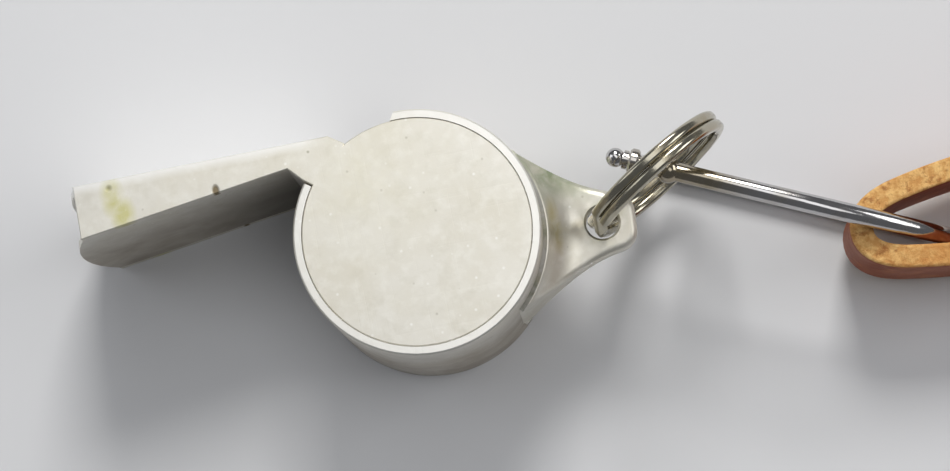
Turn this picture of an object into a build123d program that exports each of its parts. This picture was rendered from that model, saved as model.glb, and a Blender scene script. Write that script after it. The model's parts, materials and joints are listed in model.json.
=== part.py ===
"""Metal pea whistle with its split ring, wire screw clip and leather lanyard.

The whistle lies on one side plate. Z = 0 is the surface it lies on, the origin is the barrel's axis at
that face, -X runs out along the mouthpiece and +X towards the lanyard lug. All sizes are millimetres.
"""
import os
from math import atan2, cos, degrees, pi, radians, sin, tan

from build123d import *

os.makedirs("parts", exist_ok=True)

# ---- whistle: driving dimensions ----
WIDTH = 18.0            # barrel and mouthpiece, side plate to side plate
BARREL_R = 11.0         # outside of the barrel band
SHEET = 0.75            # side plates and barrel band
STRIP = 0.60            # mouthpiece roof and floor
JOINT_GAP = 0.04        # seam left between soldered pieces
MOUTH_X = -29.5         # end of the cheeks
MOUTH_BULGE = 1.6       # how far the roof and floor strips curve out past the cheeks
ROOF_Y = 9.98           # outside of the mouthpiece roof
ROOF_END_X = -6.27      # where the roof bevels down into the air slot
FLOOR_MOUTH_Y = 5.11    # outside of the floor at the mouth end
NECK_X, NECK_Y = -10.3, 7.75    # outside of the floor where it meets the neck
NECK_ANGLE = 145.2      # where the barrel band ends under the neck
LIP_ANGLE = 93.0        # where the barrel band begins, at the sounding lip
LIP_BEVEL = 2.5         # how far round the lip's outer edge runs past its inner one
CHEEK_LIP = (-4.9, 9.05)        # foot of the cheek's bevel, on the plate's circle
CHEEK_ROOT = (-6.0, 6.0)        # the cheek's outline inside the plate's circle
STRIP_CLEARANCE = 0.02  # between the strips and the cheeks
ROOF_CHAMFER = 0.2
EDGE = 0.15             # broken edges

# ---- lanyard lug ----
LUG_Z = 9.0
LUG_THICK = 2.0
LUG_ANGLE = -4.0
LUG_HOLE_X = 16.36
LUG_HOLE_R = 1.5
LUG_HOLE_CHAMFER = 0.2
LUG_END_X = 19.45
LUG_BASE = (7.95, 7.62)         # where the flare runs into the barrel
LUG_WAIST = (12.2, 5.15)
LUG_SHOULDER = (15.6, 3.45)
LUG_CORNER = (17.85, 2.75)      # where the tab's side turns into its rounded end
LUG_CORNER_MIDDLE = (19.2, 1.8)
LUG_END_HALF = 0.9              # half the flat at the tab's end
LUG_SADDLE_R = 11.55            # outside of the saddle at its upper and lower edges
LUG_SADDLE_HALF = 4.7           # half the saddle's height on the barrel
LUG_TAB_X = 16.0                # where the saddle has thinned to the flat tab
LUG_ROUND_R = 0.75              # rounding of the tab's edges
SOLDER_LEG = 0.35
SOLDER_ARC = 86.0               # how far round the barrel the solder runs

# ---- cork pea ----
PEA_R = 5.3
PEA_ORBIT = 3.8

# ---- split ring ----
RING_AZIMUTH = 30.4
RING_CENTRE = (21.89, 2.03, 11.0)
RING_R = 7.05           # centre of the wire
RING_WIRE_AXIAL = 0.98
RING_WIRE_RADIAL = 1.10
RING_WIRE_CORNER = 0.4
RING_STEP = 1.02        # from one turn to the next
RING_STEP_AT = 166.0    # where the wire steps over, round the ring from its far side
RING_GAP_ANGLE = 9.0    # half the angle in which it steps over

# ---- wire clip ----
CLIP_AZIMUTH = -25.0
CLIP_LEAN = 10.4        # the clip's loop leans on the ring and the strap
CLIP_KNUCKLE = (23.03, 2.05)
CLIP_TOP = 12.0         # height of the pin's axis
WIRE_R = 0.86
KNUCKLE_R = 1.2
EYE_S = -3.2            # the eye's place along the pin, from the knuckle
EYE_R = 1.2
EYE_THICK = 0.9
EYE_CHAMFER = 0.2
PIN_R = 0.60
PIN_BORE_R = 0.66
PIN_BALL_R = 0.88
PIN_BALL_S = -4.9
PIN_COLLAR_R = 0.86
PIN_COLLAR_T = 0.42
PIN_COLLAR_AT = 0.72    # from the ball's centre
PIN_TIP_S = 0.55

# ---- leather strap ----
STRAP_W = 8.0
STRAP_T = 2.1
STRAP_LIFT = 2.25       # the fold stands on the clip's lower leg
STRAP_TIP = (39.0, -6.7)
COIL_PITCH = 2.9
COIL_INNER_R = 14.0
COIL_TURNS = 6
COIL_X = 94.0
COIL_ENTRY_Y = 2.7      # the strap's line into the coil, from the fold's

# ---- rivet and stud ----
RIVET_X = 69.2
RIVET_Y = 1.66          # middle of the two layers, from the fold's line
RIVET_HALF = 2.35       # from the middle of the two layers to under each head
RIVET_POST_R = 1.5
RIVET_HEAD_R = 3.4
RIVET_HEAD_T = 0.9
RIVET_HEAD_ROUND = 0.5
STUD_ANGLE = 112.0      # the strap's inner end, round the coil
STUD_NECK_R = 1.2
STUD_BEDDED = 0.2       # how far the screw's foot stops short of the strap's outer face
STUD_FLANGE_R = 3.2
STUD_FLANGE_T = 0.8
STUD_NECK_H = 2.0
STUD_BALL_R = 2.1
STUD_BALL_H = 3.8       # the ball's centre above the strap's face


def on_circle(radius, angle):
    """The point of a circle about the origin, in the XY plane."""
    return (radius * cos(radians(angle)), radius * sin(radians(angle)))


def side_plate_outline():
    """Round side plate with the mouthpiece cheek in one piece with it."""
    with BuildSketch() as outline:
        Circle(BARREL_R - SHEET - JOINT_GAP)
        with BuildLine():
            Polyline(
                (MOUTH_X, FLOOR_MOUTH_Y),
                (MOUTH_X, ROOF_Y),
                (ROOF_END_X, ROOF_Y),
                CHEEK_LIP,
                CHEEK_ROOT,
                on_circle(BARREL_R - SHEET - 1.0, NECK_ANGLE),
                on_circle(BARREL_R + 0.15, NECK_ANGLE - 0.6),
                (NECK_X, NECK_Y),
                close=True,
            )
        make_face()
    return outline.sketch


# ---- side plates ----
plate_outline = side_plate_outline()

with BuildPart() as side_plate_lower:
    with BuildSketch(Plane.XY):
        add(plate_outline)
    extrude(amount=SHEET)
    chamfer(side_plate_lower.faces().sort_by(Axis.Z)[0].edges(), EDGE * 0.6)
side_plate_lower.part.label = "side_plate_lower"

with BuildPart() as side_plate_upper:
    with BuildSketch(Plane.XY.offset(WIDTH - SHEET)):
        add(plate_outline)
    extrude(amount=SHEET)
    chamfer(side_plate_upper.faces().sort_by(Axis.Z)[-1].edges(), EDGE * 0.6)
side_plate_upper.part.label = "side_plate_upper"

# ---- barrel band: the strip round the two side plates ----
BAND_END = NECK_ANGLE + 0.5 - 360.0     # measured clockwise from the lip
band_inner_r = BARREL_R - SHEET

with BuildPart() as barrel_band:
    with BuildSketch(Plane.XY):
        with BuildLine():
            outer = CenterArc((0, 0), BARREL_R, LIP_ANGLE - LIP_BEVEL, BAND_END - LIP_ANGLE + LIP_BEVEL)
            inner = CenterArc((0, 0), band_inner_r, LIP_ANGLE, BAND_END - LIP_ANGLE)
            Line(outer @ 0, inner @ 0)
            Line(outer @ 1, inner @ 1)
        make_face()
    extrude(amount=WIDTH)
    rims = barrel_band.edges().filter_by(GeomType.CIRCLE)
    chamfer(rims.filter_by(lambda e: abs(e.radius - BARREL_R) < 0.01), EDGE)
barrel_band.part.label = "barrel_band"

# ---- mouthpiece strips, between the cheeks ----
strip_low = SHEET + STRIP_CLEARANCE
strip_high = WIDTH - SHEET - STRIP_CLEARANCE
floor_slope = (NECK_Y - FLOOR_MOUTH_Y) / (NECK_X - MOUTH_X)


def mouth_plan(x_end, thickness_span):
    """Plan of a mouthpiece strip, seen along Y: square at the inner end, curved out at the mouth."""
    with BuildSketch(Plane.XZ.offset(-thickness_span[0])) as plan:
        with BuildLine():
            Polyline((MOUTH_X, strip_low), (x_end, strip_low), (x_end, strip_high), (MOUTH_X, strip_high))
            ThreePointArc(
                (MOUTH_X, strip_high),
                (MOUTH_X - MOUTH_BULGE, WIDTH / 2),
                (MOUTH_X, strip_low),
            )
        make_face()
    return extrude(plan.sketch, amount=-(thickness_span[1] - thickness_span[0]))


roof_blank = mouth_plan(ROOF_END_X - 0.1, (ROOF_Y - STRIP, ROOF_Y - 0.01))
floor_blank = mouth_plan(-5.0, (0.0, BARREL_R))

with BuildPart() as mouthpiece_roof:
    add(roof_blank)
    chamfer(mouthpiece_roof.edges().filter_by(Axis.Z).sort_by(Axis.X)[-2:], ROOF_CHAMFER)
mouthpiece_roof.part.label = "mouthpiece_roof"

# the floor's section, from the mouth along its outside, round the shoulder that rests on the band,
# up to the ramp under the air slot and back along its inside
floor_far_x = MOUTH_X - MOUTH_BULGE - 0.5
floor_far_y = NECK_Y + floor_slope * (floor_far_x - NECK_X)
with BuildPart() as mouthpiece_floor:
    with BuildSketch(Plane.XY.offset(strip_low)):
        with BuildLine():
            Polyline(
                (floor_far_x, floor_far_y + 0.01),
                (NECK_X, NECK_Y + 0.01),
                (-9.35, 6.95),
                (-8.85, 7.35),
                (-9.75, 8.02),
                (-5.9, 8.10),
                (-5.9, 8.42),
                (NECK_X, NECK_Y + STRIP + 0.02),
                (floor_far_x, floor_far_y + STRIP + 0.02),
                close=True,
            )
        make_face()
    extrude(amount=strip_high - strip_low)
    add(floor_blank, mode=Mode.INTERSECT)
mouthpiece_floor.part.label = "mouthpiece_floor"

# ---- lanyard lug: a saddle on the band that draws out into a tab ----
lug_plane = Plane(origin=(0, 0, LUG_Z), x_dir=(cos(radians(LUG_ANGLE)), sin(radians(LUG_ANGLE)), 0),
                  z_dir=(0, 0, 1))


def below(point):
    """The same point on the other side of the lug's middle line."""
    return (point[0], -point[1])


with BuildPart() as lanyard_lug:
    with BuildSketch(lug_plane.offset(-LUG_SADDLE_HALF)):
        with BuildLine():
            upper = Spline(LUG_BASE, LUG_WAIST, LUG_SHOULDER, LUG_CORNER)
            lower = Spline(below(LUG_BASE), below(LUG_WAIST), below(LUG_SHOULDER), below(LUG_CORNER))
            ThreePointArc(upper @ 1, LUG_CORNER_MIDDLE, (LUG_END_X, LUG_END_HALF))
            Line((LUG_END_X, LUG_END_HALF), (LUG_END_X, -LUG_END_HALF))
            ThreePointArc((LUG_END_X, -LUG_END_HALF), below(LUG_CORNER_MIDDLE), lower @ 1)
            Line(upper @ 0, lower @ 0)
        make_face()
    extrude(amount=2 * LUG_SADDLE_HALF)
    with BuildSketch(Plane.XZ):
        with BuildLine():
            for side in (1, -1):
                tab = LUG_Z + side * LUG_THICK / 2
                saddle = LUG_Z + side * LUG_SADDLE_HALF
                Line((BARREL_R + 0.02, LUG_Z), (BARREL_R + 0.02, saddle))
                Line((BARREL_R + 0.02, saddle), (LUG_SADDLE_R - 0.25, saddle))
                ThreePointArc(
                    (LUG_SADDLE_R - 0.25, saddle),
                    (LUG_SADDLE_R - 0.07, saddle - side * 0.07),
                    (LUG_SADDLE_R, saddle - side * 0.25),
                )
                Line((LUG_SADDLE_R, saddle - side * 0.25), (LUG_SADDLE_R, saddle - side * 0.4))
                TangentArc((LUG_TAB_X, tab), (LUG_SADDLE_R, saddle - side * 0.4), tangent=(-1, 0))
                Line((LUG_TAB_X, tab), (LUG_END_X + 1, tab))
                Line((LUG_END_X + 1, tab), (LUG_END_X + 1, LUG_Z))
        make_face()
    revolve(axis=Axis.Z, revolution_arc=360, mode=Mode.INTERSECT)
    round_over = lanyard_lug.edges().filter_by(
        lambda e: e.length > 1.7 and abs((e @ 0).Y - (e @ 1).Y) < 4 and abs((e @ 0).X - (e @ 1).X) > 0.1
    )
    fillet(round_over, LUG_ROUND_R)
    with BuildSketch(lug_plane.offset(-LUG_THICK)):
        with Locations((LUG_HOLE_X, 0)):
            Circle(LUG_HOLE_R)
    extrude(amount=2 * LUG_THICK, mode=Mode.SUBTRACT)
    circles = lanyard_lug.edges().filter_by(GeomType.CIRCLE)
    hole_rims = circles.filter_by(lambda e: abs(e.radius - LUG_HOLE_R) < 0.01)
    chamfer(hole_rims, LUG_HOLE_CHAMFER)
lanyard_lug.part.label = "lanyard_lug"

# ---- solder along the saddle's upper and lower edges ----
with BuildPart() as lug_solder:
    for side in (1, -1):
        root = LUG_Z + side * (LUG_SADDLE_HALF + 0.01)
        with BuildSketch(Plane.XZ.rotated((0, 0, LUG_ANGLE - SOLDER_ARC / 2))):
            with BuildLine():
                inner_r = BARREL_R + 0.01
                Polyline(
                    (inner_r, root),
                    (inner_r + SOLDER_LEG, root),
                    (inner_r + 0.15, root + side * 0.2),
                    (inner_r, root + side * SOLDER_LEG),
                    close=True,
                )
            make_face()
        revolve(axis=Axis.Z, revolution_arc=SOLDER_ARC)
lug_solder.part.label = "lug_solder"

# ---- cork pea, lying on the lower side plate ----
with BuildPart() as cork_pea:
    with Locations((PEA_ORBIT, 0, SHEET + PEA_R + 0.02)):
        Sphere(PEA_R)
cork_pea.part.label = "cork_pea"

# ---- split ring: one wire wound twice, stepping from one turn to the other ----
ring_normal = (sin(radians(RING_AZIMUTH)), -cos(radians(RING_AZIMUTH)), 0)
ring_x = (cos(radians(RING_AZIMUTH)), sin(radians(RING_AZIMUTH)), 0)


def ring_section(angle, offset):
    """Section of the split ring's wire at an angle round the ring and a place along its axis."""
    radial = Vector(*ring_x) * cos(radians(angle)) + Vector(0, 0, 1) * sin(radians(angle))
    centre = Vector(*RING_CENTRE) + radial * RING_R + Vector(*ring_normal) * offset
    tangent = Vector(*ring_normal).cross(radial)
    plane = Plane(origin=centre, x_dir=radial, z_dir=tangent)
    with BuildSketch(plane) as section:
        RectangleRounded(RING_WIRE_RADIAL, RING_WIRE_AXIAL, RING_WIRE_CORNER)
    return section.sketch


ring_axis = Axis(RING_CENTRE, ring_normal)
ring_start = RING_STEP_AT + RING_GAP_ANGLE
ring_sweep = 360 - 2 * RING_GAP_ANGLE
with BuildPart() as split_ring:
    for offset in (-RING_STEP / 2, RING_STEP / 2):
        add(ring_section(ring_start, offset))
        revolve(axis=ring_axis, revolution_arc=ring_sweep)
    loft(
        sections=[
            ring_section(RING_STEP_AT - RING_GAP_ANGLE, -RING_STEP / 2),
            ring_section(RING_STEP_AT + RING_GAP_ANGLE, RING_STEP / 2),
        ],
        ruled=True,
    )
split_ring.part.label = "split_ring"


# ---- wire clip: one bent rod, with a bored knuckle at one end and an eye at the other ----
clip_dir = Vector(cos(radians(CLIP_AZIMUTH)), sin(radians(CLIP_AZIMUTH)), 0)
clip_side = Vector(-clip_dir.Y, clip_dir.X, 0)
clip_up = Vector(0, 0, 1) * cos(radians(CLIP_LEAN)) - clip_side * sin(radians(CLIP_LEAN))
clip_origin = Vector(*CLIP_KNUCKLE, CLIP_TOP)
clip_plane = Plane(origin=clip_origin, x_dir=clip_dir, z_dir=clip_dir.cross(clip_up))
CLIP_FLOOR = -(CLIP_TOP - WIRE_R - 0.02) / cos(radians(CLIP_LEAN))

# the loop in its own plane, from the knuckle out along the top, round the far end and back below
clip_points = [
    (0.0, 0.0),
    (9.0, 0.9),
    (18.0, 0.4),
    (24.2, -3.2),
    (27.2, -7.6),
    (24.6, CLIP_FLOOR),
    (EYE_S + 0.1, CLIP_FLOOR),
    (EYE_S, -EYE_R + 0.22),
]
clip_radii = [50.0, 24.0, 8.0, 3.2, 2.6, 2.6]

eye_plane = Plane(origin=clip_origin + clip_dir * (EYE_S - EYE_THICK / 2), x_dir=clip_side, z_dir=clip_dir)
with BuildPart() as wire_clip:
    with BuildSketch(eye_plane):
        Circle(EYE_R)
    extrude(amount=EYE_THICK)
    chamfer(wire_clip.edges().filter_by(GeomType.CIRCLE), EYE_CHAMFER)
    with Locations(clip_origin):
        Sphere(KNUCKLE_R)
    with BuildLine(clip_plane) as clip_path:
        FilletPolyline(*clip_points, radius=clip_radii)
    with BuildSketch(Plane(origin=clip_path.line @ 0, z_dir=clip_path.line % 0)):
        Circle(WIRE_R)
    sweep(path=clip_path.line)
    with BuildSketch(eye_plane.offset(-EYE_THICK)):
        Circle(PIN_BORE_R)
    extrude(amount=PIN_TIP_S + 0.1 - EYE_S + 1.5 * EYE_THICK, mode=Mode.SUBTRACT)
wire_clip.part.label = "wire_clip"

# ---- screw pin with its ball head ----
with BuildPart() as clip_pin:
    shank_plane = Plane(origin=clip_origin + clip_dir * PIN_BALL_S, x_dir=clip_side, z_dir=clip_dir)
    with Locations(shank_plane):
        Sphere(PIN_BALL_R)
    with BuildSketch(shank_plane):
        Circle(PIN_R)
    extrude(amount=PIN_TIP_S - PIN_BALL_S)
    with BuildSketch(shank_plane.offset(PIN_COLLAR_AT)):
        Circle(PIN_COLLAR_R)
    extrude(amount=PIN_COLLAR_T)
clip_pin.part.label = "clip_pin"

# ---- leather strap: folded round the clip, riveted to itself, its length wound in a flat coil ----
COIL_OUTER_R = COIL_INNER_R + COIL_TURNS * COIL_PITCH
strap_slope = degrees(atan2(STRAP_LIFT, COIL_X - STRAP_TIP[0]))
strap_plane = Plane(
    origin=(STRAP_TIP[0], STRAP_TIP[1], STRAP_LIFT),
    x_dir=(cos(radians(strap_slope)), 0, -sin(radians(strap_slope))),
    z_dir=(sin(radians(strap_slope)), 0, cos(radians(strap_slope))),
)

# the strap's centre line from its cut tail, round the fold and on to the coil; along X from the fold
strap_points = [
    (34.5, 0.35),
    (27.0, 0.6),
    (15.5, -4.0),
    (8.0, -3.58),
    (0.1, -2.3),
    (0.1, 2.4),
    (8.0, 4.2),
    (16.5, 4.9),
    (26.0, 3.0),
    (38.0, 2.6),
    (COIL_X - STRAP_TIP[0], COIL_ENTRY_Y),
]


def corner_radii(points):
    """Each corner's arc: 0.45 of its shorter run over the tangent of half the turn."""
    radii = []
    for before, here, after in zip(points, points[1:], points[2:]):
        run_in = Vector(here[0] - before[0], here[1] - before[1])
        run_out = Vector(after[0] - here[0], after[1] - here[1])
        turn = radians(run_in.get_angle(run_out))
        radii.append(0.45 * min(run_in.length, run_out.length) / tan(turn / 2))
    return radii


strap_radii = corner_radii(strap_points)
print("strap corner radii", [round(r, 1) for r in strap_radii])

with BuildPart() as strap_run:
    with BuildLine(strap_plane) as strap_path:
        FilletPolyline(*strap_points, radius=strap_radii)
    section_plane = Plane(origin=strap_path.line @ 0, x_dir=strap_plane.z_dir, z_dir=strap_path.line % 0)
    with BuildSketch(section_plane):
        with Locations((STRAP_W / 2, 0)):
            Rectangle(STRAP_W, STRAP_T)
    sweep(path=strap_path.line)
strap_run.part.label = "strap_run"
strap_length = sum(edge.length for edge in strap_path.edges())
print("strap run", round(strap_length, 2), "volume", round(strap_run.part.volume, 1),
      "section x length", round(strap_length * STRAP_W * STRAP_T, 1))

coil_centre_y = STRAP_TIP[1] + COIL_ENTRY_Y - COIL_OUTER_R
with BuildPart() as strap_coil:
    with BuildSketch(Plane.XY):
        with Locations((COIL_X, coil_centre_y)):
            Circle(COIL_OUTER_R + STRAP_T / 2)
            Circle(COIL_INNER_R - STRAP_T / 2, mode=Mode.SUBTRACT)
    extrude(amount=STRAP_W)
strap_coil.part.label = "strap_coil"
coil_length = 2 * pi * COIL_TURNS * (COIL_INNER_R + COIL_OUTER_R) / 2
print("coiled length", round(coil_length), "whole strap", round(coil_length + strap_length))

# ---- two-part rivet through both layers of the strap ----
rivet_s = RIVET_X - STRAP_TIP[0]
rivet_middle = strap_plane.from_local_coords(Vector(rivet_s, RIVET_Y, STRAP_W / 2))
rivet_plane = Plane(origin=rivet_middle, x_dir=strap_plane.x_dir, z_dir=(0, 1, 0))

with BuildPart() as rivet_post:
    with BuildSketch(rivet_plane.offset(-RIVET_HALF - RIVET_HEAD_T)):
        Circle(RIVET_HEAD_R)
    extrude(amount=RIVET_HEAD_T)
    with BuildSketch(rivet_plane.offset(-RIVET_HALF)):
        Circle(RIVET_POST_R)
    extrude(amount=2 * RIVET_HALF)
    fillet(rivet_post.faces().sort_by(Axis.Y)[0].edges(), RIVET_HEAD_ROUND)
rivet_post.part.label = "rivet_post"

with BuildPart() as rivet_cap:
    with BuildSketch(rivet_plane.offset(RIVET_HALF + 0.01)):
        Circle(RIVET_HEAD_R)
    extrude(amount=RIVET_HEAD_T)
    fillet(rivet_cap.faces().sort_by(Axis.Y)[-1].edges(), RIVET_HEAD_ROUND)
rivet_cap.part.label = "rivet_cap"

# ---- screw stud at the strap's inner end, which buttons the neck loop ----
stud_dir = Vector(cos(radians(STUD_ANGLE)), sin(radians(STUD_ANGLE)), 0)
stud_plane = Plane(
    origin=Vector(COIL_X, coil_centre_y, STRAP_W / 2) + stud_dir * COIL_INNER_R,
    x_dir=(0, 0, 1),
    z_dir=-stud_dir,
)
with BuildPart() as strap_stud:
    with BuildSketch(stud_plane.offset(-STRAP_T / 2 + STUD_BEDDED)):
        Circle(STUD_NECK_R)
    extrude(amount=STRAP_T + STUD_BEDDED)
    with BuildSketch(stud_plane.offset(STRAP_T / 2 + 0.05)):
        Circle(STUD_FLANGE_R)
    extrude(amount=STUD_FLANGE_T)
    with BuildSketch(stud_plane.offset(STRAP_T / 2 + STUD_FLANGE_T)):
        Circle(STUD_NECK_R)
    extrude(amount=STUD_NECK_H)
    with Locations(stud_plane.offset(STRAP_T / 2 + STUD_BALL_H)):
        Sphere(STUD_BALL_R)
strap_stud.part.label = "strap_stud"

pieces = [
    side_plate_lower,
    side_plate_upper,
    barrel_band,
    mouthpiece_roof,
    mouthpiece_floor,
    lanyard_lug,
    lug_solder,
    cork_pea,
    split_ring,
    wire_clip,
    clip_pin,
    strap_run,
    strap_coil,
    rivet_post,
    rivet_cap,
    strap_stud,
]
for piece in pieces:
    export_step(piece.part, f"parts/{piece.part.label}.step")
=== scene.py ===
"""Looks for the metal pea whistle on its split ring, wire clip and leather lanyard."""
import json
from math import cos, pi, sin

import bmesh
import bpy
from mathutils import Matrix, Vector, noise


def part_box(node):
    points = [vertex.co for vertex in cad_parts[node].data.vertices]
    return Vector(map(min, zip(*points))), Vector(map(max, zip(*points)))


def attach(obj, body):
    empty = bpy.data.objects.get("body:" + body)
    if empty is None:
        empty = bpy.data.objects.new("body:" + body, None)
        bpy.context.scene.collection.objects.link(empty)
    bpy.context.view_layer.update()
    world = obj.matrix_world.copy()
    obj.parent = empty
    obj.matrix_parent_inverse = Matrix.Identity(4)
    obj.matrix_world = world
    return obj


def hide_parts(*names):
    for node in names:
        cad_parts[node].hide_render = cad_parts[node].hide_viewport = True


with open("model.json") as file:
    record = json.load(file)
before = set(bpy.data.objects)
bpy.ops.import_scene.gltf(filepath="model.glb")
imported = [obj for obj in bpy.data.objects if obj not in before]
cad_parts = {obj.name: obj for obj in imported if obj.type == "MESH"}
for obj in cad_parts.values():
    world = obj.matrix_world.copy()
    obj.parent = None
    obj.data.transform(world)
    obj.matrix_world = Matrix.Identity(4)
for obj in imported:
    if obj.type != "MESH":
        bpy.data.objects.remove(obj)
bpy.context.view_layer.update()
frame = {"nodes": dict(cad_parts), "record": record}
nodes = frame["nodes"]
scene = bpy.context.scene
MM = 0.001

# ---- camera: above the near side plate, a little towards the lug and the shaded side ----
CAMERA_PLACE = (12.14 * MM, -37.36 * MM, 231.8 * MM)
CAMERA_TURN = (0.1573, 0.06424, -0.18788)
SENSOR_MM = 36.0
LENS_MM = 93.47

camera_data = bpy.data.cameras.new("camera")
camera_data.sensor_width = SENSOR_MM
camera_data.lens = LENS_MM
camera_data.clip_start = 0.01
camera = bpy.data.objects.new("camera", camera_data)
camera.location = CAMERA_PLACE
camera.rotation_euler = CAMERA_TURN
scene.collection.objects.link(camera)
scene.camera = camera

# ---- the strap: the same route as the CAD solids', in millimetres ----
STRAP_W = 8.0
STRAP_T = 2.1
STRAP_LIFT = 2.25
FOLD = (39.0, -6.7)
COIL_X = 94.0
COIL_PITCH = 2.9
COIL_INNER_R = 14.0
COIL_TURNS = 6
COIL_OUTER_R = COIL_INNER_R + COIL_TURNS * COIL_PITCH
POINTS_PER_TURN = 16
COIL_ENTRY_Y = 2.7      # the strap's line into the coil, from the fold's
LINE_RESOLUTION = 10    # steps between control points when the route's curve is read
LINE_SPACING = 0.5      # between the sections of the drawn strap

strap_points = [
    (34.5, 0.35),
    (27.0, 0.6),
    (15.5, -4.0),
    (8.0, -3.58),
    (0.1, -2.3),
    (0.1, 2.4),
    (8.0, 4.2),
    (16.5, 4.9),
    (26.0, 3.0),
    (38.0, 2.6),
]


def strap_route():
    """Control points of the strap's centre line: tail, fold round the clip, then the flat coil."""
    run = COIL_X - FOLD[0]
    route = []
    for along, across in strap_points:
        lift = STRAP_LIFT * (1 - along / run)
        route.append(Vector((FOLD[0] + along, FOLD[1] + across, lift + STRAP_W / 2)) * MM)
    coil_y = FOLD[1] + COIL_ENTRY_Y - COIL_OUTER_R
    for step in range(COIL_TURNS * POINTS_PER_TURN + 1):
        turns = step / POINTS_PER_TURN
        radius = COIL_OUTER_R - COIL_PITCH * turns
        angle = pi / 2 - 2 * pi * turns
        place = (COIL_X + radius * cos(angle), coil_y + radius * sin(angle), STRAP_W / 2)
        route.append(Vector(place) * MM)
    return route


def smooth_line(name, points):
    """Points along the NURBS spline that has these control points."""
    curve = bpy.data.curves.new(name, "CURVE")
    curve.dimensions = "3D"
    spline = curve.splines.new("NURBS")
    spline.points.add(len(points) - 1)
    for control, place in zip(spline.points, points):
        control.co = (*place, 1.0)
    spline.order_u = 3
    spline.use_endpoint_u = True
    spline.resolution_u = LINE_RESOLUTION
    holder = bpy.data.objects.new(name, curve)
    scene.collection.objects.link(holder)
    bpy.context.view_layer.update()
    depsgraph = bpy.context.evaluated_depsgraph_get()
    mesh = bpy.data.meshes.new_from_object(holder.evaluated_get(depsgraph))
    line = [v.co.copy() for v in mesh.vertices]
    bpy.data.objects.remove(holder)
    bpy.data.meshes.remove(mesh)
    return line


def evenly(line, spacing):
    """The same line with its points a fixed distance apart."""
    places = [line[0].copy()]
    left = spacing
    for a, b in zip(line, line[1:]):
        run = (b - a).length
        walked = 0.0
        while run - walked >= left:
            walked += left
            places.append(a.lerp(b, walked / run))
            left = spacing
        left -= run - walked
    shortest_end = spacing * 0.3
    if (places[-1] - line[-1]).length > shortest_end:
        places.append(line[-1].copy())
    return places


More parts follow.
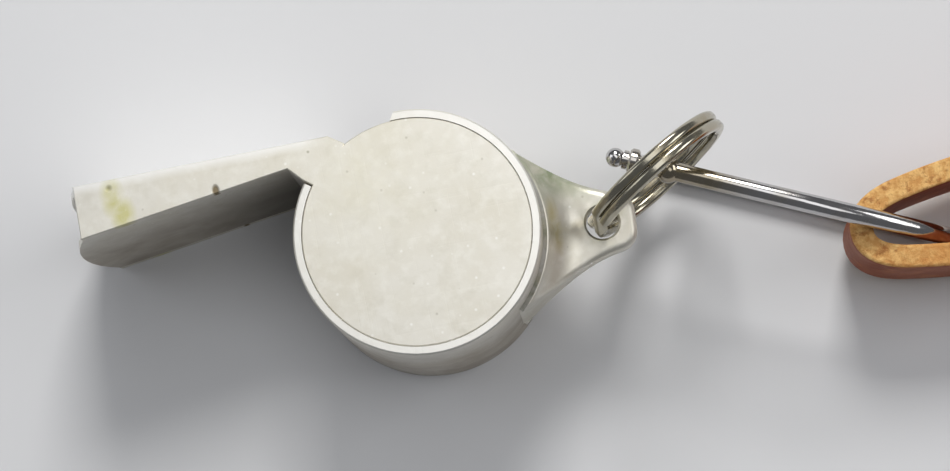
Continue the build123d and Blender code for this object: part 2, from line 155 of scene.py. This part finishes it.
# ---- materials ----
class Shader:
    """A Principled material and the few node chains that this object's finishes share."""

    def __init__(self, name, colour, metallic=0.0, roughness=0.5):
        self.material = bpy.data.materials.new(name)
        self.material.use_nodes = True
        self.tree = self.material.node_tree
        self.bsdf = self.tree.nodes["Principled BSDF"]
        self.bsdf.inputs["Base Color"].default_value = (*colour, 1.0)
        self.bsdf.inputs["Metallic"].default_value = metallic
        self.bsdf.inputs["Roughness"].default_value = roughness
        self.place = self.add("ShaderNodeTexCoord").outputs["Object"]
        self.colour = None
        self.colour_start = colour
        self.rough = None
        self.rough_start = roughness
        self.height = None

    def add(self, kind, **settings):
        node = self.tree.nodes.new(kind)
        for key, value in settings.items():
            setattr(node, key, value)
        return node

    def link(self, source, target):
        self.tree.links.new(source, target)

    def scaled(self, scale, turn=(0, 0, 0)):
        """Object coordinates stretched and turned, for grain that runs one way."""
        mapping = self.add("ShaderNodeMapping")
        mapping.inputs["Scale"].default_value = scale
        mapping.inputs["Rotation"].default_value = turn
        self.link(self.place, mapping.inputs["Vector"])
        return mapping.outputs["Vector"]

    def noise(self, scale, detail=4.0, rough=0.55, distort=0.0, place=None):
        node = self.add("ShaderNodeTexNoise")
        node.inputs["Scale"].default_value = scale
        node.inputs["Detail"].default_value = detail
        node.inputs["Roughness"].default_value = rough
        node.inputs["Distortion"].default_value = distort
        self.link(place or self.place, node.inputs["Vector"])
        return node.outputs["Fac"]

    def cells(self, scale, feature="F1", place=None):
        node = self.add("ShaderNodeTexVoronoi", feature=feature)
        node.inputs["Scale"].default_value = scale
        self.link(place or self.place, node.inputs["Vector"])
        return node.outputs["Distance"]

    def band(self, value, low, high, to_low=0.0, to_high=1.0):
        """value between low and high, mapped to between to_low and to_high, and held at the ends."""
        node = self.add("ShaderNodeMapRange")
        node.inputs["From Min"].default_value = low
        node.inputs["From Max"].default_value = high
        node.inputs["To Min"].default_value = to_low
        node.inputs["To Max"].default_value = to_high
        self.link(value, node.inputs["Value"])
        return node.outputs["Result"]

    def math(self, operation, *values):
        """A math node; each value is a number or another node's output."""
        node = self.add("ShaderNodeMath", operation=operation)
        for socket, value in zip(node.inputs, values):
            if isinstance(value, (int, float)):
                socket.default_value = value
            else:
                self.link(value, socket)
        return node.outputs["Value"]

    def axes(self):
        """The object coordinates one by one, as the outputs X, Y and Z."""
        split = self.add("ShaderNodeSeparateXYZ")
        self.link(self.place, split.inputs["Vector"])
        return split.outputs

    def times(self, first, second):
        """One mask times another, or times a number."""
        return self.math("MULTIPLY", first, second)

    def near(self, point, radius, soft=0.5, stretch=(1, 1, 1)):
        """1 near a point of the object, falling to 0 at the radius; sizes in millimetres.

        soft is the share of the radius that stays 1, and a stretch of 0 leaves that axis out.
        """
        offset = self.add("ShaderNodeVectorMath", operation="SUBTRACT")
        offset.inputs[1].default_value = [x * MM for x in point]
        self.link(self.place, offset.inputs[0])
        shaped = self.add("ShaderNodeVectorMath", operation="MULTIPLY")
        shaped.inputs[1].default_value = stretch
        self.link(offset.outputs["Vector"], shaped.inputs[0])
        length = self.add("ShaderNodeVectorMath", operation="LENGTH")
        self.link(shaped.outputs["Vector"], length.inputs[0])
        return self.band(length.outputs["Value"], radius * MM * soft, radius * MM, 1.0, 0.0)

    def tint(self, mask, colour):
        """Lays a colour over what is there, where the mask says."""
        mix = self.add("ShaderNodeMix", data_type="RGBA")
        if self.colour is None:
            mix.inputs["A"].default_value = (*self.colour_start, 1.0)
        else:
            self.link(self.colour, mix.inputs["A"])
        mix.inputs["B"].default_value = (*colour, 1.0)
        self.link(mask, mix.inputs["Factor"])
        self.colour = mix.outputs["Result"]

    def roughen(self, mask, amount):
        """Adds to the roughness where the mask says; a negative amount polishes."""
        if self.rough is None:
            self.rough = self.math("MULTIPLY_ADD", mask, amount, self.rough_start)
        else:
            self.rough = self.math("ADD", self.rough, self.times(mask, amount))

    def raise_by(self, value, millimetres):
        """Adds to the surface's height; bump only."""
        scaled = self.times(value, millimetres)
        self.height = scaled if self.height is None else self.math("ADD", self.height, scaled)

    def finish(self):
        """Joins what has been built up to the shader, and gives the material."""
        if self.colour is not None:
            self.link(self.colour, self.bsdf.inputs["Base Color"])
        if self.rough is not None:
            self.link(self.rough, self.bsdf.inputs["Roughness"])
        if self.height is not None:
            bump = self.add("ShaderNodeBump")
            bump.inputs["Strength"].default_value = 1.0
            bump.inputs["Distance"].default_value = MM
            self.link(self.height, bump.inputs["Height"])
            self.link(bump.outputs["Normal"], self.bsdf.inputs["Normal"])
        return self.material


# ---- colours of the finishes ----
NICKEL = (0.80, 0.775, 0.70)
NICKEL_CLOUDED = (0.69, 0.65, 0.53)
NICKEL_GRAIN = (0.90, 0.885, 0.82)
NICKEL_PATCHED = (0.62, 0.59, 0.49)
NICKEL_YELLOWED = (0.80, 0.765, 0.60)
NICKEL_PAINTED_SHADE = (0.36, 0.305, 0.235)
NICKEL_SHADED = (0.11, 0.10, 0.075)
PALE_SPECK = (0.97, 0.96, 0.92)
DARK_SPECK = (0.36, 0.33, 0.25)
PAINTED_EDGE_HIGHLIGHT = (0.98, 0.975, 0.95)
PAINTED_RIM_HIGHLIGHT = (0.97, 0.965, 0.94)
LUG_NICKEL = (0.72, 0.695, 0.62)
STAIN = (0.60, 0.575, 0.22)
STAIN_SPOT = (0.28, 0.26, 0.12)
PIT = (0.30, 0.28, 0.16)
BARE_METAL = (0.22, 0.16, 0.07)
TARNISH = (0.42, 0.38, 0.16)
YELLOW_TARNISH = (0.50, 0.42, 0.10)
GREY_TARNISH = (0.35, 0.34, 0.20)
VERDIGRIS = (0.20, 0.26, 0.12)
SOLDER = (0.55, 0.54, 0.50)
SOLDER_DULL = (0.36, 0.34, 0.22)
SOLDER_GREEN = (0.20, 0.22, 0.12)
STEEL = (0.47, 0.44, 0.355)
STEEL_BROWNED = (0.36, 0.29, 0.17)
STEEL_PIT = (0.16, 0.13, 0.08)
CHROME = (0.55, 0.54, 0.545)
CHROME_PAINTED_REFLECTION = (0.34, 0.285, 0.19)
CHROME_WORN = (0.44, 0.40, 0.34)
BRASS = (0.74, 0.55, 0.24)
BRASS_WORN = (0.42, 0.27, 0.10)
CORK = (0.50, 0.32, 0.17)
CORK_CELL = (0.64, 0.45, 0.26)
CORK_PORE = (0.20, 0.11, 0.05)
LEATHER_DYED = (0.36, 0.085, 0.022)
LEATHER_DARK = (0.22, 0.045, 0.012)
LEATHER_BURNISHED = (0.60, 0.22, 0.07)
LEATHER_RAW = (0.64, 0.32, 0.095)
FIBRE_PALE = (0.88, 0.57, 0.22)
FIBRE_DARK = (0.36, 0.13, 0.03)
FIBRE_DYED = (0.58, 0.24, 0.055)

# ---- marks on the finishes: where they are, in millimetres ----
PLAN = (1, 1, 0)            # a stretch that looks at X and Y alone
CHEEK_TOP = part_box("mouthpiece_roof")[1][1] / MM
BAND_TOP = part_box("barrel_band")[1][2] / MM
RIM_Z = (BAND_TOP - 0.14, BAND_TOP - 0.05)      # the band's broken upper edge, where a highlight is painted
WALL_Z = (BAND_TOP - 0.4, BAND_TOP - 10.0)      # painted shade, from the rim to past the middle of the wall
CHEEK_X = (-6.5, -8.5)      # the plate gives way to the cheek
CHEEK_EDGE_Y = (CHEEK_TOP - 0.97, CHEEK_TOP - 0.17)
CHEEK_YELLOWED = (-4.5, 5.5, 9.0)
MOUTH_STAIN = (-26.1, 8.3, 9.0)
MOUTH_STAIN_FOOT = (-25.4, 6.6, 9.0)
MOUTH_SPOT = (-26.3, 9.2, 9.0)
CHEEK_DENT = (-16.9, 7.1, 9.0)
CHEEK_PIT = (-8.2, 8.9, 9.0)
NECK = (-9.5, 7.0, 9.0)
LUG_CREASE = (11.4, -0.6, 12.6)
LUG_UPPER_EDGE = (13.2, 5.6, 10.5)
LUG_HOLE = (16.4, -1.1, 9.0)
LUG_LINE = (12.0, -0.9, 11.4)
ROD_AT_RING = (24.6, 1.6, 12.2)


def nickel(name, colour=NICKEL, roughness=0.42):
    """Matt nickel plate with a fine pebbled grain, clouded patches, pale specks and hair scratches."""
    s = Shader(name, colour, metallic=0.82, roughness=roughness)
    clouds = s.noise(160, detail=5, distort=0.4)
    s.tint(s.band(clouds, 0.40, 0.66, 0.0, 0.40), NICKEL_CLOUDED)
    fine = s.noise(900, detail=3)
    s.tint(s.band(fine, 0.48, 0.70, 0.0, 0.40), NICKEL_GRAIN)
    s.tint(s.band(s.noise(640, detail=5, distort=0.3), 0.52, 0.72, 0.0, 0.30), NICKEL_PATCHED)
    specks = s.cells(700)
    s.tint(s.band(specks, 0.03, 0.12, 0.75, 0.0), PALE_SPECK)
    dark_specks = s.cells(480, place=s.scaled((1.0, 1.0, 1.0), (0.3, 0.5, 0.2)))
    s.tint(s.band(dark_specks, 0.02, 0.08, 0.5, 0.0), DARK_SPECK)
    s.roughen(s.band(clouds, 0.35, 0.7), 0.10)
    scratch = s.noise(70, detail=2, place=s.scaled((60.0, 1.6, 1.6), (0.0, 0.0, 0.55)))
    scratch_across = s.noise(60, detail=2, place=s.scaled((1.4, 55.0, 1.4), (0.0, 0.0, 0.2)))
    s.raise_by(s.band(scratch, 0.60, 0.70), -0.0022)
    s.raise_by(s.band(scratch_across, 0.62, 0.70), -0.0018)
    s.raise_by(fine, 0.006)
    s.raise_by(s.noise(2600, detail=2), 0.004)
    return s


def plate_finish(name):
    """The side plates: stained near the mouth, with a dent on the cheek's edge and a painted highlight along
    the cheek's upper edge.
    """
    s = nickel(name)
    ragged = s.noise(700, detail=4)
    axes = s.axes()
    cheek = s.band(axes["X"], CHEEK_X[0] * MM, CHEEK_X[1] * MM)
    # painted highlight: a near-white line along the cheek's upper edge
    edge_highlight = s.times(cheek, s.band(axes["Y"], CHEEK_EDGE_Y[0] * MM, CHEEK_EDGE_Y[1] * MM))
    s.tint(s.times(edge_highlight, 0.75), PAINTED_EDGE_HIGHLIGHT)
    yellowed = s.near(CHEEK_YELLOWED, 9.0, 0.1, PLAN)
    s.tint(s.times(s.times(yellowed, ragged), 0.5), NICKEL_YELLOWED)
    upper = s.near(MOUTH_STAIN, 2.2, 0.25, (1.7, 1.0, 0.0))
    lower = s.near(MOUTH_STAIN_FOOT, 2.0, 0.3, (1.5, 1.0, 0.0))
    streak = s.times(s.math("MAXIMUM", upper, lower), s.band(ragged, 0.28, 0.55, 0.35, 1.0))
    s.tint(s.times(streak, 0.75), STAIN)
    spot = s.near(MOUTH_SPOT, 0.36, 0.2, PLAN)
    s.tint(s.times(spot, 0.7), STAIN_SPOT)
    dent = s.near(CHEEK_DENT, 0.50, 0.5, (1.25, 0.8, 0))
    s.tint(s.times(dent, 0.85), BARE_METAL)
    small = s.near(CHEEK_PIT, 0.17, 0.3, PLAN)
    s.tint(s.times(small, 0.6), PIT)
    s.roughen(streak, 0.18)
    s.roughen(dent, 0.3)
    s.raise_by(dent, -0.08)
    s.raise_by(spot, -0.03)
    return s.finish()


def band_finish(name):
    """The barrel band and the floor strip: the same plate, with a painted highlight on its rim, painted shade
    that browns and darkens it down its wall, and a painted shadow by the neck.
    """
    s = nickel(name, roughness=0.36)
    height = s.axes()["Z"]
    # painted highlight: a pale line along the band's upper rim
    s.tint(s.band(height, RIM_Z[0] * MM, RIM_Z[1] * MM, 0.0, 0.5), PAINTED_RIM_HIGHLIGHT)
    # painted shade: darker and browner down the wall, in blotches
    down = s.band(height, WALL_Z[0] * MM, WALL_Z[1] * MM)
    blotch = s.noise(260, detail=5, distort=0.6)
    s.tint(s.times(down, s.band(blotch, 0.35, 0.65, 0.5, 0.85)), NICKEL_PAINTED_SHADE)
    # painted shadow: the wall and floor strip darkened near the neck
    neck = s.near(NECK, 13.0, 0.15, (1.0, 1.0, 0.35))
    s.tint(s.times(s.times(neck, down), 0.75), NICKEL_SHADED)
    crease = s.near(LUG_CREASE, 5.2, 0.4, (1.0, 1.0, 1.9))
    s.tint(s.times(crease, s.band(blotch, 0.42, 0.6, 0.0, 0.5)), TARNISH)
    drawn = s.noise(45, detail=2, place=s.scaled((1.0, 1.0, 42.0)))
    s.raise_by(s.band(drawn, 0.45, 0.75), -0.003)
    return s.finish()


def lug_finish(name):
    """The lug: satin, with green tarnish along its upper edge and a yellow line in the crease."""
    s = nickel(name, colour=LUG_NICKEL, roughness=0.40)
    ragged = s.noise(520, detail=5, distort=0.5)
    green = s.near(LUG_UPPER_EDGE, 5.6, 0.25, (0.8, 1.05, 0.5))
    s.tint(s.times(green, s.band(ragged, 0.32, 0.62, 0.25, 0.85)), VERDIGRIS)
    round_hole = s.near(LUG_HOLE, 2.6, 0.6, PLAN)
    s.tint(s.times(round_hole, s.band(ragged, 0.45, 0.65, 0.0, 0.4)), GREY_TARNISH)
    line = s.near(LUG_LINE, 2.4, 0.2, (3.2, 0.8, 0.7))
    s.tint(s.times(line, s.band(ragged, 0.35, 0.55, 0.2, 0.8)), YELLOW_TARNISH)
    s.roughen(green, 0.25)
    return s.finish()


def solder_finish(name):
    """Dull lumpy solder with a little green in it."""
    s = Shader(name, SOLDER, metallic=0.9, roughness=0.38)
    lumps = s.noise(420, detail=5, distort=0.8)
    s.tint(s.band(lumps, 0.45, 0.7, 0.0, 0.6), SOLDER_DULL)
    s.tint(s.band(s.noise(900, detail=3), 0.55, 0.7, 0.0, 0.5), SOLDER_GREEN)
    s.raise_by(lumps, 0.06)
    s.roughen(lumps, 0.2)
    return s.finish()


def ring_finish(name):
    """Polished plated steel, gone slightly yellow, with fine wear."""
    s = Shader(name, STEEL, metallic=1.0, roughness=0.15)
    worn = s.noise(500, detail=5)
    s.tint(s.band(worn, 0.48, 0.7, 0.0, 0.5), STEEL_BROWNED)
    s.tint(s.band(s.cells(900), 0.02, 0.08, 0.6, 0.0), STEEL_PIT)
    s.roughen(s.band(worn, 0.4, 0.7), 0.14)
    s.raise_by(s.noise(1400, detail=3), 0.006)
    s.raise_by(worn, 0.012)
    return s.finish()


def chrome_finish(name):
    """The clip and its pin: polished, with a painted dark brownish reflection where the rod runs through the
    ring.
    """
    s = Shader(name, CHROME, metallic=1.0, roughness=0.10)
    worn = s.noise(420, detail=4)
    # painted reflection: the rod darkened and browned near the ring, as if it mirrored dark surroundings
    dark_reflection = s.near(ROD_AT_RING, 7.0, 0.35)
    s.tint(s.times(dark_reflection, s.band(worn, 0.3, 0.6, 0.45, 0.95)), CHROME_PAINTED_REFLECTION)
    s.tint(s.band(worn, 0.5, 0.72, 0.0, 0.45), CHROME_WORN)
    s.roughen(s.band(worn, 0.42, 0.7), 0.12)
    s.raise_by(s.noise(900, detail=4), 0.008)
    return s.finish()


def brass_finish(name):
    """The rivet and the stud."""
    s = Shader(name, BRASS, metallic=1.0, roughness=0.24)
    worn = s.noise(480, detail=5)
    s.tint(s.band(worn, 0.45, 0.7, 0.0, 0.55), BRASS_WORN)
    s.roughen(worn, 0.2)
    s.raise_by(s.noise(1200, detail=3), 0.006)
    return s.finish()


def cork_finish(name):
    """The pea: pale cells and dark pores."""
    s = Shader(name, CORK, roughness=0.85)
    s.tint(s.band(s.cells(700), 0.15, 0.5, 0.0, 0.5), CORK_CELL)
    pores = s.noise(520, detail=5)
    s.tint(s.band(pores, 0.56, 0.66, 0.0, 0.9), CORK_PORE)
    s.raise_by(s.band(pores, 0.52, 0.66), -0.12)
    s.raise_by(s.cells(900), 0.05)
    return s.finish()


def leather_face_finish(name):
    """Smooth dyed face of the strap: reddish tan with pores, creases and burnished streaks."""
    s = Shader(name, LEATHER_DYED, roughness=0.46)
    s.bsdf.inputs["Specular IOR Level"].default_value = 0.28
    clouds = s.noise(170, detail=5, distort=0.5)
    s.tint(s.band(clouds, 0.4, 0.65, 0.0, 0.6), LEATHER_DARK)
    s.tint(s.band(s.noise(420, detail=4), 0.55, 0.75, 0.0, 0.5), LEATHER_BURNISHED)
    grain = s.cells(1500, feature="SMOOTH_F1")
    s.roughen(s.band(clouds, 0.4, 0.7), 0.15)
    s.raise_by(grain, 0.035)
    s.raise_by(s.noise(2600, detail=4), 0.02)
    s.raise_by(s.noise(300, detail=3), 0.06)
    return s.finish()


def leather_edge_finish(name):
    """Raw cut edge: golden tan fibres, with darker and dye-red patches."""
    s = Shader(name, LEATHER_RAW, roughness=0.85)
    fibres = s.noise(1500, detail=6, rough=0.7)
    s.tint(s.band(fibres, 0.42, 0.60, 0.0, 0.85), FIBRE_PALE)
    s.tint(s.band(s.noise(1100, detail=6, rough=0.7), 0.53, 0.64, 0.0, 0.85), FIBRE_DARK)
    s.tint(s.band(s.noise(260, detail=4), 0.48, 0.68, 0.0, 0.6), FIBRE_DYED)
    s.raise_by(fibres, 0.16)
    s.raise_by(s.noise(700, detail=5), 0.16)
    return s.finish()


finishes = {
    "whistle_plate": plate_finish("nickel_plate"),
    "whistle_band": band_finish("nickel_band"),
    "whistle_lug": lug_finish("nickel_lug"),
    "solder": solder_finish("solder"),
    "cork": cork_finish("cork"),
    "ring_steel": ring_finish("ring_steel"),
    "clip_chrome": chrome_finish("clip_chrome"),
    "rivet_brass": brass_finish("brass"),
}
leather_face = leather_face_finish("leather_face")
leather_edge = leather_edge_finish("leather_edge")

slot_of = {entry["node"]: entry["material_slot"] for entry in frame["record"]["subparts"]}
for node_name, node in nodes.items():
    finish = finishes.get(slot_of[node_name])
    if finish is not None:
        node.data.materials.clear()
        node.data.materials.append(finish)


# ---- the leather strap ----
FACE_POINTS = 9         # across each face of the strap's section
EDGE_POINTS = 9         # across each cut edge
CORNER_EASE = 0.22      # how far a face stops short of the cut edge
EDGE_EASE = 0.4         # the share of that by which the edge is narrower than the strap
ROUGH_FINE = 1600       # scales of the cut edge's roughness, per metre
ROUGH_COARSE = 500
ROUGH_SIDE = 900
ROUGH_DEPTH = 0.10
ROUGH_SIDE_DEPTH = 0.05
SIDE_BAND = 0.3         # the edge's outer part, where it also wavers sideways


def shares(count):
    """Even steps from 0 to 1."""
    return [index / (count - 1) for index in range(count)]


def strap_section():
    """Section of the strap, across and up, in millimetres, and whether each point is on a face or an edge."""
    half_t, half_w = STRAP_T / 2, STRAP_W / 2
    face_low, face_span = -half_w + CORNER_EASE, STRAP_W - 2 * CORNER_EASE
    edge_low = -half_t + CORNER_EASE * EDGE_EASE
    edge_span = STRAP_T - 2 * CORNER_EASE * EDGE_EASE
    section = [(half_t, face_low + share * face_span, "face") for share in shares(FACE_POINTS)]
    section += [(-edge_low - share * edge_span, half_w, "edge") for share in shares(EDGE_POINTS)]
    section += [(-half_t, -face_low - share * face_span, "face") for share in shares(FACE_POINTS)]
    section += [(edge_low + share * edge_span, -half_w, "edge") for share in shares(EDGE_POINTS)]
    return section


def build_strap(name, line):
    """A flat strap on edge along the line, its cut edges roughened a little."""
    section = strap_section()
    up = Vector((0, 0, 1))
    mesh = bmesh.new()
    rings = []
    for index, place in enumerate(line):
        ahead = line[min(index + 1, len(line) - 1)] - line[max(index - 1, 0)]
        across = ahead.cross(up).normalized()
        ring = []
        for x, y, kind in section:
            point = place + across * (x * MM) + up * (y * MM)
            if kind == "edge":
                rough = noise.noise(point * ROUGH_FINE) + noise.noise(point * ROUGH_COARSE)
                inward = -up if y > 0 else up
                point += inward * (abs(rough) * ROUGH_DEPTH * MM)
                if abs(x) > STRAP_T / 2 - SIDE_BAND:
                    point += across * (noise.noise(point * ROUGH_SIDE) * ROUGH_SIDE_DEPTH * MM)
            ring.append(mesh.verts.new(point))
        rings.append(ring)
    count = len(section)
    for one, two in zip(rings, rings[1:]):
        for index in range(count):
            after = (index + 1) % count
            face = mesh.faces.new((one[index], one[after], two[after], two[index]))
            kinds = section[index][2], section[after][2]
            face.material_index = 1 if "edge" in kinds else 0
            face.smooth = True
    for ring, flip in ((rings[0], False), (rings[-1], True)):
        cap = mesh.faces.new(ring if flip else list(reversed(ring)))
        cap.material_index = 1
    bmesh.ops.recalc_face_normals(mesh, faces=mesh.faces)
    data = bpy.data.meshes.new(name)
    mesh.to_mesh(data)
    mesh.free()
    data.materials.append(leather_face)
    data.materials.append(leather_edge)
    piece = bpy.data.objects.new(name, data)
    scene.collection.objects.link(piece)
    return piece


strap_line = evenly(smooth_line("strap_line", strap_route()), LINE_SPACING * MM)
strap = build_strap("leather_strap", strap_line)
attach(strap, "strap")
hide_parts("strap_run", "strap_coil")

# ---- stage ----
FLOOR_HALF = 3.0
FLOOR_COLOUR = (0.70, 0.705, 0.72)
SKY_COLOUR = (0.86, 0.88, 0.92)
SKY_STRENGTH = 0.16
AIM = (0.01, 0.0, 0.0)              # near the barrel
CLIP_AIM = (0.045, -0.006, 0.008)   # the clip's far end
WARM = (1.0, 0.985, 0.96)
COOL = (0.95, 0.97, 1.0)
WHITE = (1.0, 1.0, 1.0)

floor_mesh = bpy.data.meshes.new("floor")
floor_corners = [(x * FLOOR_HALF, y * FLOOR_HALF, 0.0) for x, y in ((-1, -1), (1, -1), (1, 1), (-1, 1))]
floor_mesh.from_pydata(floor_corners, [], [(0, 1, 2, 3)])
floor = bpy.data.objects.new("floor", floor_mesh)
floor_paint = bpy.data.materials.new("floor_paint")
floor_paint.use_nodes = True
floor_shader = floor_paint.node_tree.nodes["Principled BSDF"]
floor_shader.inputs["Base Color"].default_value = (*FLOOR_COLOUR, 1.0)
floor_shader.inputs["Roughness"].default_value = 0.9
floor_mesh.materials.append(floor_paint)
scene.collection.objects.link(floor)


def area_light(name, place, aim, size, watts, colour):
    """A rectangular soft light; its place, aim and size are in metres."""
    data = bpy.data.lights.new(name, "AREA")
    data.shape = "RECTANGLE"
    data.size, data.size_y = size
    data.energy = watts
    data.color = colour
    lamp = bpy.data.objects.new(name, data)
    lamp.location = place
    direction = Vector(aim) - Vector(place)
    lamp.rotation_euler = direction.to_track_quat("-Z", "Y").to_euler()
    scene.collection.objects.link(lamp)


area_light("key", (0.12, 0.46, 0.40), AIM, (0.20, 0.20), 2.6, WARM)
area_light("fill", (-0.45, 0.20, 0.42), AIM, (0.30, 0.40), 0.5, COOL)
area_light("top", (0.12, 0.07, 0.80), AIM, (0.92, 0.33), 1.3, WHITE)
area_light("side", (0.80, 0.05, 0.55), CLIP_AIM, (0.60, 0.30), 1.8, WHITE)

world = bpy.data.worlds.new("world")
world.use_nodes = True
background = world.node_tree.nodes["Background"]
background.inputs["Color"].default_value = (*SKY_COLOUR, 1.0)
background.inputs["Strength"].default_value = SKY_STRENGTH
scene.world = world
scene.view_settings.view_transform = "Standard"
